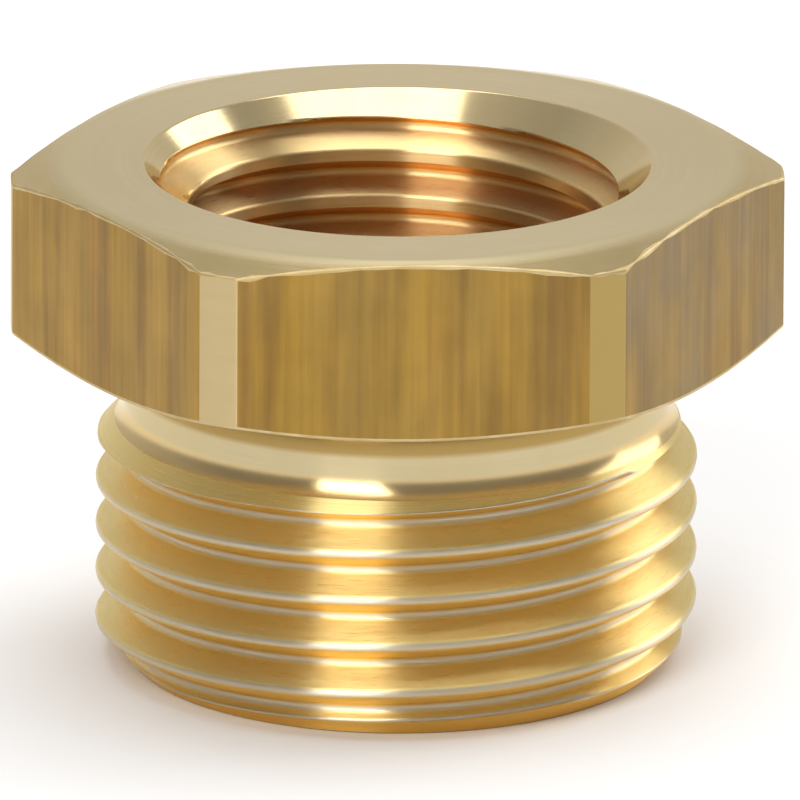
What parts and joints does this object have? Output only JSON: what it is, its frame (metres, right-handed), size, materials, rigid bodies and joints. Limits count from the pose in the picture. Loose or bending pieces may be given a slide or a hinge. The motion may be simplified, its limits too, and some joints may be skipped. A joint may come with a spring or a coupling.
{
  "type": "reducing nipple",
  "caption": "Brass hexagon reducing nipple: male pipe thread on the shank, smaller female pipe thread inside a countersunk top.",
  "frame": {"origin": "centre of the male end face, on the axis of both threads", "axes": "+Z along the axis from the male end to the countersunk top; Y square to two of the hexagon's flats"},
  "size_m": [0.0212, 0.019, 0.0142],
  "materials": {
    "brass": "drawn hexagon flats, turned everywhere else"
  },
  "bodies": {
    "root": {"nipple": "brass"}
  },
  "joints": []
}
